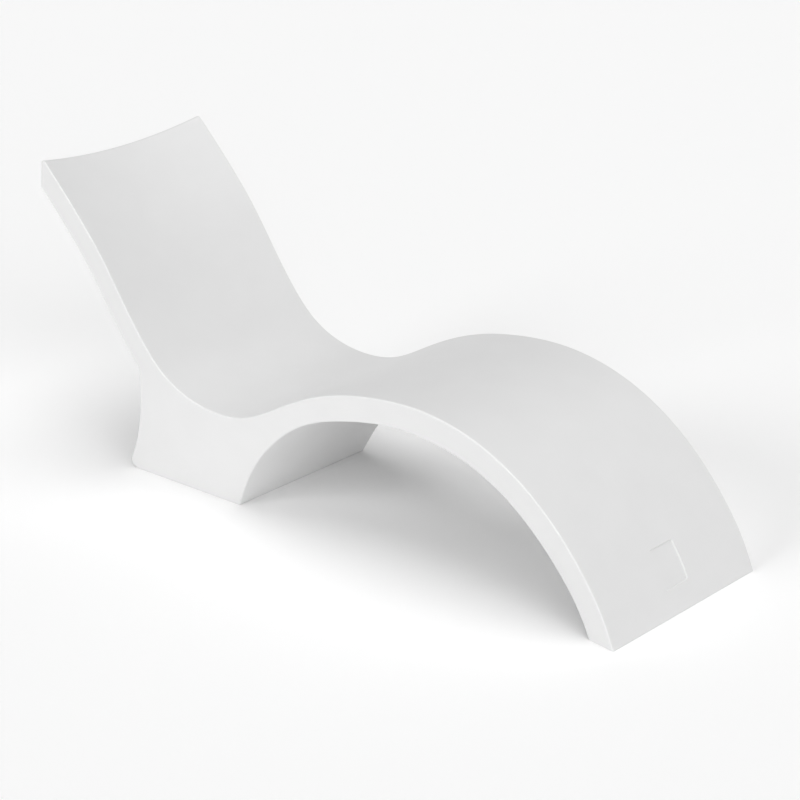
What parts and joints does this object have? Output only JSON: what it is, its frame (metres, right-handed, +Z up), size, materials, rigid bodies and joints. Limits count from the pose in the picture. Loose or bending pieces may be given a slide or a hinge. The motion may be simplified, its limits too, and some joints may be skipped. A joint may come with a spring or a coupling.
{
  "type": "chaise longue",
  "caption": "S-shaped hollow plastic in-pool chaise longue on a pedestal, with arched leg rest and screw plugs for filling and draining its water ballast.",
  "frame": {"origin": "on the floor under the middle of the overall box", "axes": "+X across the lounger, +Y from the foot end to the head end, +Z up"},
  "size_m": [0.5602, 1.8298, 0.7819],
  "materials": {
    "shell_polyethylene": "white rotationally moulded polyethylene, fine satin texture",
    "fitting_polyethylene": "injection moulded white polyethylene, smooth",
    "gasket_rubber": "black moulded rubber",
    "plug_polypropylene": "injection moulded white polypropylene, semi-matt"
  },
  "bodies": {
    "shell": {"lounger_shell": "shell_polyethylene", "back_fill_fitting": "fitting_polyethylene", "foot_drain_fitting": "fitting_polyethylene", "pedestal_drain_fitting": "fitting_polyethylene"},
    "back_fill_gasket": {"back_fill_gasket": "gasket_rubber"},
    "back_fill_plug": {"back_fill_plug": "plug_polypropylene"},
    "foot_drain_gasket": {"foot_drain_gasket": "gasket_rubber"},
    "foot_drain_plug": {"foot_drain_plug": "plug_polypropylene"},
    "pedestal_drain_gasket": {"pedestal_drain_gasket": "gasket_rubber"},
    "pedestal_drain_plug": {"pedestal_drain_plug": "plug_polypropylene"}
  },
  "joints": [
    {"name": "back_fill_lift", "type": "slide", "parent": "shell", "child": "back_fill_gasket", "axis": [0, 0.73, -0.6835], "range_m": [0, 0.0176]},
    {"name": "back_fill_turn", "type": "hinge", "parent": "back_fill_gasket", "child": "back_fill_plug", "pos_m": [0, 0.83125, 0.64427], "axis": [0, 0.73, -0.6835], "range_deg": [0, 1260]},
    {"name": "foot_drain_lift", "type": "slide", "parent": "shell", "child": "foot_drain_gasket", "axis": [0, 0.8141, -0.5807], "range_m": [0, 0.0176]},
    {"name": "foot_drain_turn", "type": "hinge", "parent": "foot_drain_gasket", "child": "foot_drain_plug", "pos_m": [0, -0.7961, 0.10404], "axis": [0, 0.8141, -0.5807], "range_deg": [0, 1260]},
    {"name": "pedestal_drain_lift", "type": "slide", "parent": "shell", "child": "pedestal_drain_gasket", "axis": [0, 0.9007, 0.4343], "range_m": [0, 0.0176]},
    {"name": "pedestal_drain_turn", "type": "hinge", "parent": "pedestal_drain_gasket", "child": "pedestal_drain_plug", "pos_m": [0, 0.62194, 0.06069], "axis": [0, 0.9007, 0.4343], "range_deg": [0, 1260]}
  ],
  "couplings": [
    {"joint": "back_fill_lift", "follows": "back_fill_turn", "m_per_rad": 0.00079577},
    {"joint": "foot_drain_lift", "follows": "foot_drain_turn", "m_per_rad": 0.00079577},
    {"joint": "pedestal_drain_lift", "follows": "pedestal_drain_turn", "m_per_rad": 0.00079577}
  ]
}
